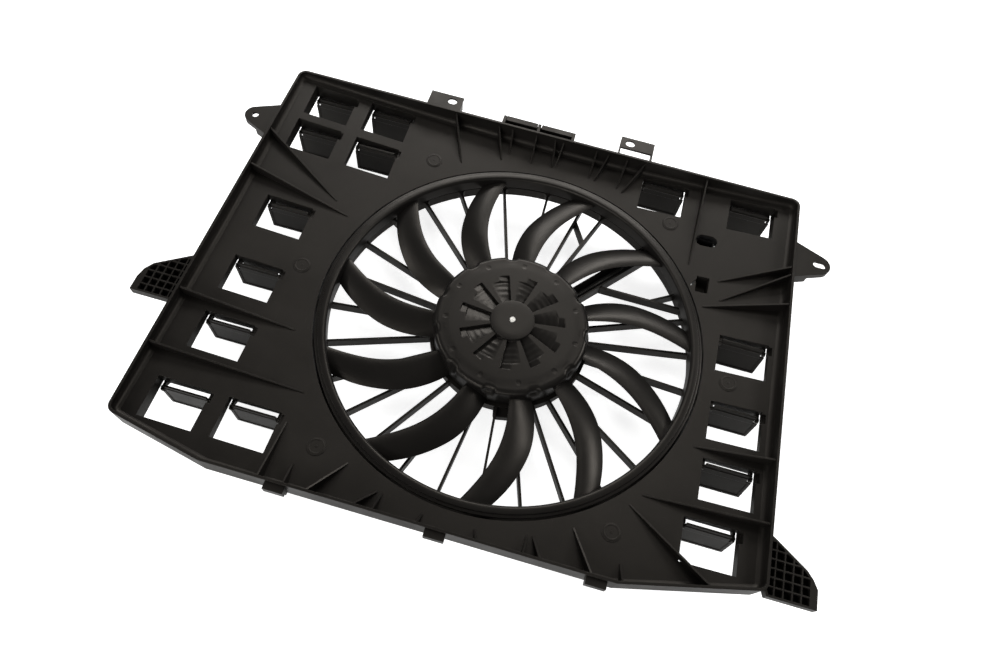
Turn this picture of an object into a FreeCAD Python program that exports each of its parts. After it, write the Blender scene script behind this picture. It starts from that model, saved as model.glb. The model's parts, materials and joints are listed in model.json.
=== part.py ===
import FreeCAD, Part
import math
import os
from FreeCAD import Vector

os.makedirs("parts", exist_ok=True)

# Frame: millimetres, Z along the fan axis, origin where that axis meets the motor's rear face.
# The fan lies on its back: +Z looks out of the intake side, +Y is up once it is in the car.

# Perimeter of the shroud, seen from the intake side
RIM_Z = 96.0                 # top edge of the perimeter wall
RIM_LEFT = -384.0
RIM_RIGHT = 328.0
RIM_UP = 286.0
RIM_DOWN = -268.0
LEFT_CORNER_Y = -244.0       # where the left side meets the sloping part of the bottom
LEFT_SLOPE_X = -269.0
RIGHT_CORNER_Y = -233.0
RIGHT_SLOPE_X = 177.0
WALL = 3.0
WALL_DEPTH = 31.0
CORNER_R = 11.0

# Plate that funnels the air to the fan: a shallow cone, deepest at the fan
OPENING_R = 238.5
PLATE_DROP = 30.0            # depth of the plate below the rim, at the opening
PLATE_SLOPE = 0.089          # rise per millimetre outwards
PLATE_T = 2.5
SPLIT_LEFT_X = -198.0        # joints between the three plate sections
SPLIT_RIGHT_X = 188.0
SPLIT_UPPER_Y = 130.0        # joints within the left side of the plate
SPLIT_LOWER_Y = -166.0

# Windows with hinged flaps
WINDOW_W = 60.5
WINDOW_H = 49.5
FRAME_T = 2.0
FRAME_BACK = 65.0            # flat rear plane that all window frames share
NOTCH_W = 4.0                # recess beside each window's top edge, where a rod end is put in
NOTCH_H = 12.0
NOTCH_DROP = 2.0
FLAP_LAP = 1.2               # how far a closed flap overlaps its frame at each side
HINGE_DROP = 7.0             # hinge axis below the window's top edge
FLAP_L = WINDOW_H - HINGE_DROP + FLAP_LAP
LIP_GAP = 0.8                # between a closed flap's lip and the window's top edge
FLAP_T = 2.2
FLAP_GAP = 0.4               # between a closed flap and the frame
ROD_R = 2.0
PIN_CLEAR = 0.08
POST_T = 3.2
POST_SIDE_GAP = 0.5
HOOD_OUT = 5.0               # hood wall above the window's top edge
HOOD_T = 1.8
HOOD_DEPTH = 17.6

# Tunnel around the fan and the stator behind it
BARREL_T = 3.0
STATOR_TOP = 42.0
STATOR_H = 14.0
STATOR_IN_R = 229.0
CARRIER_OUT_R = 100.0
CARRIER_IN_R = 86.5
STRUT_T = 3.0
STRUT_ANGLES = [78, 91, 106.5, 122, 135, 148, 161, 174, 186.5, 200, 212.5, 225, 237.5,
                250, 263, 275.5, 288, 301, 313, 326, 343, 357, 10, 22.5, 70]
SHORT_STRUT_ANGLE = 32.0
CHANNEL_ANGLE = 50.0
CHANNEL_W = 18.0
CHANNEL_WALL = 2.0
CHANNEL_H = 18.0

# Fan
BLADES = 11
HUB_R = 94.0
HUB_TOP = 73.0               # hub face at its rim
HUB_DISC_R = 27.0
HUB_DISC_TOP = 78.0
HUB_BOTTOM = 44.5
HUB_WALL = 3.0
HUB_FACE_T = 9.0
POCKET_START = 9.5           # angle of the first pocket's steep wall
POCKET_SPAN = 23.0
POCKET_DEPTH = 5.0
RING_IN_R = 222.5
RING_OUT_R = 236.0
RING_WALL = 2.0
RING_BOTTOM = 52.0
LIP_TOP = 69.5
BLADE_START = 21.3           # angle of the first blade's leading edge at the hub

# Motor
SHAFT_R = 4.0
SHAFT_TOP = 79.0
SHAFT_BOTTOM = 14.0
MOTOR_R = 84.0
MOTOR_WALL = 2.5
MOTOR_TOP = 61.0
FLANGE_R = 98.0
FLANGE_T = 4.0
COVER_R = 80.0
CORE_R = MOTOR_R - MOTOR_WALL
CORE_IN_R = 56.0
AIR_GAP = 1.0
CORE_H = 22.0
BEARING_R = 11.0
BEARING_H = 7.0
RUN_CLEAR = 0.05
SCREWS = 3
SCREW_R = 2.5
SCREW_CIRCLE_R = 93.0
SCREW_START = 34.0

# Harness
CABLE_R = 4.5
CABLE_Z = 36.5
CABLE_TURN_R = 262.0         # distance from the fan axis at which the lead turns to the connector
SLOT_X = 217.4
SLOT_Y = 198.0
SLOT_W = 28.0
SLOT_H = 17.0
CLIP_X = 221.4
CLIP_Y = 130.0
CLIP_W = 16.0
CLIP_H = 23.0
PLUG_GAP = 1.5

# Fixing points
EAR_Y = 194.0
EAR_TOP = 88.0
EAR_T = 3.5
EAR_R = 14.0
EAR_HOLE_R = 4.5
LEFT_EAR_X = -413.0
RIGHT_EAR_X = 362.5
EAR_SLOT_L = 17.0
EAR_ROOT = 29.0              # half height of an ear where it meets the wall

STATOR_BOTTOM = STATOR_TOP - STATOR_H
PLATE_Z = RIM_Z - PLATE_DROP
BARREL_R = OPENING_R + BARREL_T
WALL_LOW = RIM_Z - WALL_DEPTH

WINDOWS = {
    "upper_left_1": (-327.5, 248.6), "upper_left_2": (-246.0, 250.6),
    "upper_left_3": (-329.3, 187.5), "upper_left_4": (-246.5, 187.2),
    "left_1": (-318.3, 57.7), "left_2": (-318.4, -39.0), "left_3": (-317.5, -121.0),
    "lower_left_1": (-327.4, -212.9), "lower_left_2": (-246.4, -212.4),
    "top_right": (148.5, 250.9), "upper_right": (270.5, 249.1),
    "right_1": (283.0, 38.8), "right_2": (283.0, -52.6), "right_3": (282.4, -126.5),
    "lower_right": (270.0, -199.0)}

# Flaps that lean on their stops at rest, by this many degrees towards their closed position
LEANS = {"right_1": 8.0, "right_2": 4.5, "right_3": 11.0, "lower_right": 6.0}

# Round pads on the plate, where the moulding was filled
PAD_ANGLES = [0, 52, 128, 180, 232, 308]
PAD_CIRCLE_R = 270.0
PAD_R = 10.5
PAD_T = 0.7

# Stiffening ribs as plan lines: first point at the wall, second where the rib runs out
SIDE_RIBS = [(-384, 176, -265, 105), (-384, 112, -243, 88), (-384, -84, -243, -86),
             (-384, -157, -203, -157), (328, 177, 240, 140), (328, 165.5, 246, 112),
             (328, 118.7, 226, 98.5), (328, -90, 240, -90.6), (328, -163, 192, -163),
             (274, -246, 180, -177)]
LOWER_RIBS = [(-206, -268, -207, -196), (-178, -268, -182, -238), (-155, -268, -127, -220),
              (-105, -268, -86, -240), (-82, -268, -81, -241), (-35, -268, -33, -250),
              (30, -268, 25, -250), (98, -268, 86, -240), (78.5, -268, 80, -241),
              (152, -268, 126, -219), (183, -267, 181, -243)]
UPPER_RIBS = [(-157.3, 286, -130, 222), (-95.8, 286, -79, 245), (-74.4, 286, -71, 257),
              (-40.2, 286, -38.7, 252), (-13.9, 286, -8.4, 255), (-1, 286, -4.4, 257),
              (45.6, 286, 44.2, 253), (64.1, 286, 52.3, 251), (89.5, 286, 84.6, 247),
              (115.8, 286, 92.7, 243), (200.6, 286, 200, 156)]
RIB_T = 2.0


def polar(radius, degrees, z=0.0):
    """Point at a radius and an angle around the fan axis."""
    a = math.radians(degrees)
    return Vector(radius * math.cos(a), radius * math.sin(a), z)


def box(x0, x1, y0, y1, z0, z1):
    """Box between two corners, given as ranges."""
    return Part.makeBox(x1 - x0, y1 - y0, z1 - z0, Vector(x0, y0, z0))


def cylinder(radius, z0, z1, x=0.0, y=0.0):
    """Upright cylinder between two heights."""
    return Part.makeCylinder(radius, z1 - z0, Vector(x, y, z0))


def prism(points, z0, z1):
    """Upright prism over a polygon of (x, y) points."""
    corners = [Vector(x, y, z0) for x, y in points]
    face = Part.Face(Part.makePolygon(corners + corners[:1]))
    return face.extrude(Vector(0, 0, z1 - z0))


def turned(points):
    """Solid of revolution about Z of a closed (radius, z) outline."""
    corners = [Vector(r, 0, z) for r, z in points]
    face = Part.Face(Part.makePolygon(corners + corners[:1]))
    return face.revolve(Vector(0, 0, 0), Vector(0, 0, 1), 360)


def spin(shape, degrees):
    """Copy of a shape turned about the fan axis."""
    copy = shape.copy()
    copy.rotate(Vector(0, 0, 0), Vector(0, 0, 1), degrees)
    return copy


def plate_z(x, y):
    """Height of the plate's front face."""
    return PLATE_Z + (math.hypot(x, y) - OPENING_R) * PLATE_SLOPE


def save(name, shape):
    """Write one sub-part."""
    if shape.ShapeType == "Compound" and len(shape.Solids) == 1:
        shape = shape.Solids[0]
    shape.exportStep("parts/" + name + ".step")
    print(name, len(shape.Solids), round(shape.Volume / 1000.0, 2), "cm3", shape.isValid())


def outline(inset):
    """Corner points of the perimeter, moved inwards by an inset."""
    slopes = []
    for x0, y0, x1, y1 in ((RIM_LEFT, LEFT_CORNER_Y, LEFT_SLOPE_X, RIM_DOWN),
                           (RIGHT_SLOPE_X, RIM_DOWN, RIM_RIGHT, RIGHT_CORNER_Y)):
        run = math.hypot(x1 - x0, y1 - y0)
        slope = (y1 - y0) / (x1 - x0)
        slopes.append((slope, y0 - slope * x0 + inset * run / (x1 - x0)))
    left = RIM_LEFT + inset
    right = RIM_RIGHT - inset
    down = RIM_DOWN + inset
    up = RIM_UP - inset
    (sl, cl), (sr, cr) = slopes
    return [(left, up), (left, sl * left + cl), ((down - cl) / sl, down),
            ((down - cr) / sr, down), (right, sr * right + cr), (right, up)]


def rounded_prism(inset, z0, z1):
    """Prism over the perimeter with its four outer corners rounded."""
    solid = prism(outline(inset), z0, z1)
    corners = [outline(inset)[i] for i in (0, 1, 4, 5)]
    edges = []
    for edge in solid.Edges:
        a, b = edge.Vertexes[0].Point, edge.Vertexes[-1].Point
        if abs(a.z - b.z) < 1:
            continue
        if min(math.hypot(a.x - x, a.y - y) for x, y in corners) < 0.01:
            edges.append(edge)
    return solid.makeFillet(max(CORNER_R - inset, 2.0), edges)


def under_plate():
    """Everything below the plate's front face, as a solid to cut with or to keep inside."""
    far = 620.0
    return turned([(0, -20), (far, -20), (far, plate_z(far, 0)), (OPENING_R, PLATE_Z), (0, PLATE_Z)])


def rim_wall():
    """Perimeter wall, open to the front."""
    return rounded_prism(0, WALL_LOW, RIM_Z).cut(rounded_prism(WALL, WALL_LOW - 1, RIM_Z + 1))


def window_frame(x, y, under):
    """Short tunnel around a window, flush with the front of the plate, with a block for the notch."""
    w = WINDOW_W / 2 + FRAME_T
    h = WINDOW_H / 2 + FRAME_T
    tunnel = box(x - w, x + w, y - h, y + h, FRAME_BACK, RIM_Z)
    low = y + WINDOW_H / 2 - NOTCH_DROP - NOTCH_H - FRAME_T
    block = box(x, x + w + NOTCH_W, low, y + h, FRAME_BACK, RIM_Z)
    return tunnel.fuse(block).common(under)


def window_opening(x, y):
    """Cutting tool for a window and the notch beside its top edge."""
    w = WINDOW_W / 2
    top = y + WINDOW_H / 2
    hole = box(x - w, x + w, y - WINDOW_H / 2, top, 0, 200)
    notch = box(x, x + w + NOTCH_W, top - NOTCH_DROP - NOTCH_H, top - NOTCH_DROP, FRAME_BACK + FRAME_T, 200)
    return hole.fuse(notch)


def moulding_pad(angle):
    """Thin round pad that follows the plate's slope."""
    r = PAD_CIRCLE_R
    far = r + 2 * PAD_R
    near = r - 2 * PAD_R
    skin = turned([(near, plate_z(near, 0) - 1), (far, plate_z(far, 0) - 1),
                   (far, plate_z(far, 0) + PAD_T), (near, plate_z(near, 0) + PAD_T)])
    centre = polar(r, angle)
    return skin.common(cylinder(PAD_R, 0, 200, centre.x, centre.y))


def plate_section(x0, x1, y0, y1, inner, under):
    """One section of the funnel plate with its window frames, pads and openings."""
    far = 620.0
    top = plate_z(far, 0)
    disc = turned([(OPENING_R, PLATE_Z), (far, top), (far, top - PLATE_T), (OPENING_R, PLATE_Z - PLATE_T)])
    solid = disc.common(inner).common(box(x0, x1, y0, y1, 0, 200))
    spots = [p for p in WINDOWS.values() if x0 < p[0] < x1 and y0 < p[1] < y1]
    pads = []
    for angle in PAD_ANGLES:
        p = polar(PAD_CIRCLE_R, angle)
        if x0 < p.x < x1 and y0 < p.y < y1:
            pads.append(moulding_pad(angle))
    solid = solid.fuse([window_frame(x, y, under) for x, y in spots] + pads)
    for x, y in spots:
        solid = solid.cut(window_opening(x, y))
    if x0 < SLOT_X < x1:
        solid = solid.cut(long_hole(SLOT_X, SLOT_Y, SLOT_W, SLOT_H))
        w, h = CLIP_W / 2, CLIP_H / 2
        solid = solid.cut(box(CLIP_X - w, CLIP_X + w, CLIP_Y - h, CLIP_Y + h, 0, 200))
        nick = [(CLIP_X - w + 1, CLIP_Y + h - 3), (CLIP_X - w - 6, CLIP_Y + h - 13),
                (CLIP_X - w - 6, CLIP_Y + h - 16), (CLIP_X - w + 1, CLIP_Y + h - 9)]
        solid = solid.cut(prism(nick, 0, 200))
    return solid.removeSplitter()


def long_hole(x, y, length, width):
    """Upright tool for a slot with round ends, long along X."""
    r = width / 2
    half = length / 2 - r
    bar = box(x - half, x + half, y - r, y + r, 0, 200)
    return bar.fuse([cylinder(r, 0, 200, x - half, y), cylinder(r, 0, 200, x + half, y)])


def rib(line, inner, under):
    """Triangular rib standing on the plate, highest at the wall."""
    x0, y0, x1, y1 = line
    along = Vector(x1 - x0, y1 - y0, 0)
    across = Vector(-along.y, along.x, 0).normalize() * (RIB_T / 2)
    start = Vector(x0, y0, 0) - Vector(along).normalize() * 6
    low = Vector(0, 0, 30)
    high = Vector(0, 0, RIM_Z - 2)
    end_top = Vector(x1, y1, plate_z(x1, y1) + 0.6)
    corners = [start + low, start + high, Vector(x0, y0, RIM_Z - 2), end_top, Vector(x1, y1, 30)]
    corners = [c - across for c in corners]
    face = Part.Face(Part.makePolygon(corners + corners[:1]))
    return face.extrude(across * 2).common(inner).cut(under)


def stiffening_ribs(inner, under):
    """All ribs between the wall and the plate."""
    ribs = [rib(line, inner, under) for line in SIDE_RIBS + LOWER_RIBS + UPPER_RIBS]
    return Part.makeCompound([s for r in ribs for s in r.Solids])


def hinge_line(y):
    """Position of a window's hinge axis along Y and its height."""
    return y + WINDOW_H / 2 - HINGE_DROP, FRAME_BACK - FLAP_GAP - FLAP_T / 2


def flap_hood(x, y):
    """Hood behind a window's top edge, with two cheeks bored for the flap's rod."""
    hy, hz = hinge_line(y)
    top = y + WINDOW_H / 2
    outer = WINDOW_W / 2 - 1.0
    back = FRAME_BACK - HOOD_DEPTH
    solid = box(x - outer, x + outer, top, top + HOOD_OUT + HOOD_T, FRAME_BACK - HOOD_T, FRAME_BACK)
    solid = solid.fuse(box(x - outer, x + outer, top + HOOD_OUT, top + HOOD_OUT + HOOD_T, back, FRAME_BACK))
    reach = ROD_R + 1.6
    for side in (-1, 1):
        xa = min(x + side * (outer - POST_T), x + side * outer)
        profile = [Vector(xa, hy - reach, hz - reach), Vector(xa, hy - reach, hz + ROD_R - 0.6),
                   Vector(xa, top, FRAME_BACK), Vector(xa, top + HOOD_OUT, FRAME_BACK),
                   Vector(xa, top + HOOD_OUT, FRAME_BACK - HOOD_DEPTH * 0.6), Vector(xa, hy + reach, hz - reach)]
        cheek = Part.Face(Part.makePolygon(profile + profile[:1])).extrude(Vector(POST_T, 0, 0))
        bore = Part.makeCylinder(ROD_R + PIN_CLEAR, 2 * POST_T, Vector(xa - 1, hy, hz), Vector(1, 0, 0))
        solid = solid.fuse(cheek).cut(bore)
    return solid.removeSplitter()


def flap(x, y, lean):
    """Flap hanging from its rod: lip above the rod, neck between the cheeks, plate with a raised border."""
    hy, hz = hinge_line(y)
    half = WINDOW_W / 2 + FLAP_LAP
    neck = WINDOW_W / 2 - 1.0 - POST_T - POST_SIDE_GAP
    neck_l = 8.0
    t = FLAP_T / 2
    rod_half = WINDOW_W / 2 - 0.6
    lip = HINGE_DROP - LIP_GAP
    rod = Part.makeCylinder(ROD_R, 2 * rod_half, Vector(x - rod_half, hy, hz), Vector(1, 0, 0))
    solid = rod.fuse(box(x - neck, x + neck, hy - t, hy + t, hz - neck_l - 1, hz + lip))
    solid = solid.fuse(box(x - half, x + half, hy - t, hy + t, hz - FLAP_L, hz - neck_l))
    border = 3.5
    recess = 0.7
    panel = box(x - half + border, x + half - border, hy - t - 1, hy - t + recess,
                hz - FLAP_L + border, hz - neck_l - 2.0)
    solid = solid.cut(panel).removeSplitter()
    solid.rotate(Vector(x, hy, hz), Vector(-1, 0, 0), lean)
    return solid


def fan_barrel():
    """Tunnel wall from the plate down to the stator."""
    tube = cylinder(BARREL_R, STATOR_TOP, PLATE_Z - PLATE_T)
    return tube.cut(cylinder(OPENING_R, 0, 200)).cut(cable_notch())


def cable_notch():
    """Space the lead needs where its channel passes through the tunnel wall."""
    cut = box(STATOR_IN_R - 20, BARREL_R + 20, -CHANNEL_W / 2 + CHANNEL_WALL, CHANNEL_W / 2 - CHANNEL_WALL,
              STATOR_BOTTOM + CHANNEL_WALL, STATOR_BOTTOM + CHANNEL_H)
    return spin(cut, CHANNEL_ANGLE)


def stator_ring():
    """Ring that ties the outer ends of the struts to the tunnel."""
    ring = cylinder(BARREL_R, STATOR_BOTTOM, STATOR_TOP).cut(cylinder(STATOR_IN_R, 0, 200))
    return ring.cut(cable_notch())


def span_bar(p, q, width, z0, z1):
    """Upright bar between two plan points."""
    along = Vector(q.x - p.x, q.y - p.y, 0)
    across = Vector(-along.y, along.x, 0).normalize() * (width / 2)
    corners = [p - across, q - across, q + across, p + across]
    return prism([(c.x, c.y) for c in corners], z0, z1)


def annulus():
    """Space between the motor carrier and the stator ring."""
    return cylinder(STATOR_IN_R, 0, 200).cut(cylinder(CARRIER_OUT_R, 0, 200))


def stator_struts():
    """Thin upright struts, radial except for two braces beside the cable channel."""
    room = annulus()
    low, high = STATOR_BOTTOM, STATOR_TOP
    bars = [span_bar(polar(CARRIER_OUT_R - 8, a), polar(STATOR_IN_R + 8, a), STRUT_T, low, high) for a in STRUT_ANGLES]
    channel = channel_block()
    long_brace = span_bar(polar(STATOR_IN_R + 8, 25.5), polar(140, 47), STRUT_T, low, high).cut(channel)
    short = span_bar(polar(175, SHORT_STRUT_ANGLE), polar(STATOR_IN_R + 8, SHORT_STRUT_ANGLE), STRUT_T, low, high)
    short = biggest(short.cut(long_brace))
    cross = span_bar(polar(160, 63), polar(STATOR_IN_R - 4, 83), STRUT_T, low, high)
    cross = cross.cut(Part.makeCompound([bars[0], bars[-1]]))
    cross = min(cross.Solids, key=lambda s: abs(math.hypot(s.CenterOfMass.x, s.CenterOfMass.y) - 192))
    pieces = [b.common(room) for b in bars] + [long_brace.common(room), short.common(room), cross]
    return Part.makeCompound([biggest(p) for p in pieces])


def biggest(shape):
    """Largest solid of a shape."""
    return max(shape.Solids, key=lambda s: s.Volume)


def channel_block():
    """Outer block of the cable channel, between the carrier and the stator ring."""
    block = box(60, STATOR_IN_R + 8, -CHANNEL_W / 2, CHANNEL_W / 2, STATOR_BOTTOM, STATOR_BOTTOM + CHANNEL_H)
    return spin(block, CHANNEL_ANGLE)


def cable_channel():
    """Trough in the place of one strut, open to the front, for the motor lead."""
    trough = box(0, 400, -CHANNEL_W / 2 + CHANNEL_WALL, CHANNEL_W / 2 - CHANNEL_WALL,
                 STATOR_BOTTOM + CHANNEL_WALL, 200)
    return channel_block().common(annulus()).cut(spin(trough, CHANNEL_ANGLE))


def motor_carrier():
    """Ring that holds the motor, with screw bosses and one ear that looks out below the hub."""
    ring = cylinder(CARRIER_OUT_R, STATOR_BOTTOM, STATOR_TOP)
    ear = box(CARRIER_OUT_R - 8, CARRIER_OUT_R + 11, -14, 14, STATOR_BOTTOM, STATOR_TOP - 4)
    ear = ear.makeFillet(5.0, [e for e in ear.Edges if e.BoundBox.ZLength > 5 and e.BoundBox.XMax > CARRIER_OUT_R])
    ear = spin(ear, 281.7)
    gap = box(CARRIER_IN_R - 10, CARRIER_OUT_R + 5, -CHANNEL_W / 2 + CHANNEL_WALL, CHANNEL_W / 2 - CHANNEL_WALL,
              STATOR_BOTTOM + CHANNEL_WALL, 200)
    solid = ring.fuse(ear).cut(cylinder(CARRIER_IN_R, 0, 200)).cut(spin(gap, CHANNEL_ANGLE))
    for k in range(SCREWS):
        p = polar(SCREW_CIRCLE_R, SCREW_START + k * 360.0 / SCREWS)
        solid = solid.cut(cylinder(SCREW_R, 0, STATOR_BOTTOM + 10, p.x, p.y))
    struts = stator_struts()
    return biggest(solid.cut(struts).removeSplitter())


def motor_housing():
    """Motor can with its mounting flange and front bearing seat."""
    top = MOTOR_TOP
    low = STATOR_BOTTOM - FLANGE_T
    seat = BEARING_R + MOTOR_WALL
    profile = [(CORE_R, low), (FLANGE_R, low), (FLANGE_R, STATOR_BOTTOM), (MOTOR_R, STATOR_BOTTOM),
               (MOTOR_R, top - 4), (MOTOR_R - 4, top), (SHAFT_R + 2, top), (SHAFT_R + 2, top - MOTOR_WALL),
               (BEARING_R, top - MOTOR_WALL), (BEARING_R, top - MOTOR_WALL - BEARING_H),
               (seat, top - MOTOR_WALL - BEARING_H), (seat, top - MOTOR_WALL), (CORE_R, top - 4 - MOTOR_WALL)]
    solid = turned(profile)
    for k in range(SCREWS):
        p = polar(SCREW_CIRCLE_R, SCREW_START + k * 360.0 / SCREWS)
        solid = solid.cut(cylinder(SCREW_R + 0.3, 0, STATOR_BOTTOM + 1, p.x, p.y))
    gland = Part.makeCylinder(CABLE_R, 30, polar(MOTOR_R - 12, CHANNEL_ANGLE, CABLE_Z), polar(1, CHANNEL_ANGLE))
    return solid.cut(gland)


def motor_cover():
    """Rear cover with the electronics bay, rear bearing seat and cooling ribs."""
    top = STATOR_BOTTOM - FLANGE_T
    seat = BEARING_R + MOTOR_WALL
    profile = [(0, 0), (COVER_R - 6, 0), (COVER_R, 6), (COVER_R, top), (seat, top), (seat, top),
               (BEARING_R, top), (BEARING_R, top - BEARING_H), (SHAFT_R + 2, top - BEARING_H),
               (SHAFT_R + 2, top - BEARING_H - 6), (0, top - BEARING_H - 6)]
    profile = [p for i, p in enumerate(profile) if p != profile[i - 1]]
    solid = turned(profile)
    for k in range(18):
        fin = box(44, COVER_R + 1, -2.2, 2.2, -1, 8)
        solid = solid.cut(spin(fin, k * 20.0 + 10))
    return solid


def stator_core():
    """Laminated core with winding teeth, pressed in the can."""
    low = STATOR_BOTTOM
    ring = cylinder(CORE_R, low, low + CORE_H).cut(cylinder(CORE_R - 8, 0, 200))
    teeth = []
    for k in range(12):
        tooth = box(CORE_IN_R, CORE_R - 7, -5, 5, low, low + CORE_H)
        teeth.append(spin(tooth, k * 30.0 + CHANNEL_ANGLE + 15))
    solid = ring.fuse(teeth).cut(cylinder(CORE_IN_R, 0, 200))
    return solid.removeSplitter()


def motor_rotor():
    """Magnet rotor pressed on the shaft."""
    low = STATOR_BOTTOM
    body = cylinder(CORE_IN_R - AIR_GAP, low, low + CORE_H).cut(cylinder(SHAFT_R, 0, 200))
    for k in range(6):
        p = polar(32, k * 60.0)
        body = body.cut(cylinder(10, 0, 200, p.x, p.y))
    return body


def bearing(z0):
    """Ball bearing drawn as one ring, with running clearance on the shaft."""
    return cylinder(BEARING_R, z0, z0 + BEARING_H).cut(cylinder(SHAFT_R + RUN_CLEAR, 0, 200))


def motor_shaft():
    """Shaft from the rear bearing to the hub's front disc."""
    bar = cylinder(SHAFT_R, SHAFT_BOTTOM, SHAFT_TOP)
    return bar.makeChamfer(0.6, [bar.Edges[0], bar.Edges[2]])


def motor_screws():
    """Screws that hold the motor's flange to the carrier."""
    screws = []
    for k in range(SCREWS):
        p = polar(SCREW_CIRCLE_R, SCREW_START + k * 360.0 / SCREWS)
        shank = cylinder(SCREW_R, STATOR_BOTTOM - FLANGE_T, STATOR_BOTTOM + 10, p.x, p.y)
        head = cylinder(4.4, STATOR_BOTTOM - FLANGE_T - 3.5, STATOR_BOTTOM - FLANGE_T, p.x, p.y)
        head = head.cut(cylinder(2.2, 0, STATOR_BOTTOM - FLANGE_T - 1.6, p.x, p.y))
        screws.append(shank.fuse(head))
    return Part.makeCompound(screws)


def face_z(radius):
    """Height of the hub's front face between its centre disc and its rim."""
    return HUB_TOP + (HUB_DISC_TOP - 2.5 - HUB_TOP) * (HUB_R - radius) / (HUB_R - HUB_DISC_R)


def fan_hub():
    """Cup with a raised centre disc, recessed pockets and a scalloped rim."""
    r = HUB_R
    inner = r - HUB_WALL
    boss = SHAFT_R + 8
    under = HUB_TOP - HUB_FACE_T + 5
    profile = [(SHAFT_R, MOTOR_TOP + 2), (SHAFT_R, HUB_DISC_TOP), (HUB_DISC_R, HUB_DISC_TOP),
               (HUB_DISC_R + 1.0, face_z(HUB_DISC_R + 1)), (r - 5, face_z(r - 5)), (r - 1.5, HUB_TOP - 1.5),
               (r, HUB_TOP - 5), (r, HUB_BOTTOM), (inner, HUB_BOTTOM), (inner, under), (74, under),
               (70, HUB_TOP - HUB_FACE_T), (boss, HUB_TOP - HUB_FACE_T), (boss, MOTOR_TOP + 2)]
    solid = turned(profile)
    pitch = 360.0 / BLADES
    tools = []
    for k in range(BLADES):
        tools.append(spin(pocket_tool(), POCKET_START + k * pitch))
        notch = cylinder(9, HUB_TOP - 2.2, 200, r + 5.5, 0)
        tools.append(spin(notch, POCKET_START - 4 + k * pitch))
        dimple = cylinder(2.0, face_z(83) - 0.8, 200, 83, 0)
        tools.append(spin(dimple, 28 + k * pitch))
    return solid.cut(tools)


def pocket_tool():
    """Ramp-floored pocket: deep at its steep wall, running out around the hub, with one step."""
    shapes = []
    for r0, r1, span, depth in ((31, 57, POCKET_SPAN, POCKET_DEPTH), (56.9, 65, POCKET_SPAN * 0.5, POCKET_DEPTH * 0.8)):
        top = face_z(r0) + 3
        floor = face_z((r0 + r1) / 2) - depth
        out = math.radians(span)
        ramp = (face_z((r0 + r1) / 2) - 0.3 - floor) / (r1 * math.tan(out))
        far = r1 * math.tan(out)
        corners = [Vector(0, 0, floor), Vector(0, far, floor + ramp * far), Vector(0, far, top), Vector(0, 0, top)]
        face = Part.Face(Part.makePolygon(corners + corners[:1]))
        block = face.extrude(Vector(r1 + 5, 0, 0))
        ring = cylinder(r1, 0, 200).cut(cylinder(r0, 0, 200))
        wedge = prism([(0, 0), (200, 0), (200 * math.cos(out), 200 * math.sin(out))], 0, 200)
        shapes.append(block.common(ring).common(wedge))
    return shapes[0].fuse(shapes[1])


def blade_section(radius, lead, trail, z_lead, z_trail, camber, thick):
    """Closed section of a blade in the plane square to its own radius."""
    mid = (lead + trail) / 2
    half = radius * math.radians(trail - lead) / 2
    frame_a = math.radians(mid)
    out = Vector(math.cos(frame_a), math.sin(frame_a), 0)
    side = Vector(-math.sin(frame_a), math.cos(frame_a), 0)
    upper, lower = [], []
    for t in (0.0, 0.12, 0.35, 0.65, 0.88, 1.0):
        base = out * radius + side * (-half + 2 * half * t)
        line = z_lead + (z_trail - z_lead) * t + camber * 4 * t * (1 - t)
        body = thick * (0.30 + 1.7 * math.sqrt(t) * (1 - t)) / 2
        upper.append(base + Vector(0, 0, line + body))
        lower.append(base + Vector(0, 0, line - body))
    top = Part.BSplineCurve()
    top.interpolate(upper)
    bottom = Part.BSplineCurve()
    bottom.interpolate(lower[::-1])
    closing = [Part.makeLine(upper[-1], lower[-1]), Part.makeLine(lower[0], upper[0])]
    return Part.Wire([top.toShape(), closing[0], bottom.toShape(), closing[1]])


def blade():
    """Crescent blade swept forwards, trimmed to the hub and to the ring."""
    rows = [(88, 0.6, 17.6, 62, 46.5), (100, 0, 17, 62, 47), (120, -0.8, 15.2, 61.5, 48), (140, -2.2, 12.6, 61, 49),
            (160, -4.3, 9.2, 60.5, 50), (180, -7.0, 5.0, 60.5, 51), (200, -10.0, 0.6, 60.5, 52),
            (215, -12.2, -2.9, 60.5, 53), (230, -14.4, -6.3, 60.5, 53.5)]
    wires = []
    for radius, lead, trail, z_lead, z_trail in rows:
        thick = 3.4 - 1.2 * (radius - 88) / 140
        wires.append(blade_section(radius, BLADE_START + lead, BLADE_START + trail, z_lead, z_trail, 2.6, thick))
    solid = Part.makeLoft(wires, True, False)
    return biggest(solid.common(cylinder(RING_IN_R, 0, 200)).cut(cylinder(HUB_R, 0, 200)))


def fan_blades():
    """All blades, one solid each."""
    one = blade()
    return Part.makeCompound([spin(one, k * 360.0 / BLADES) for k in range(BLADES)])


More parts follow.
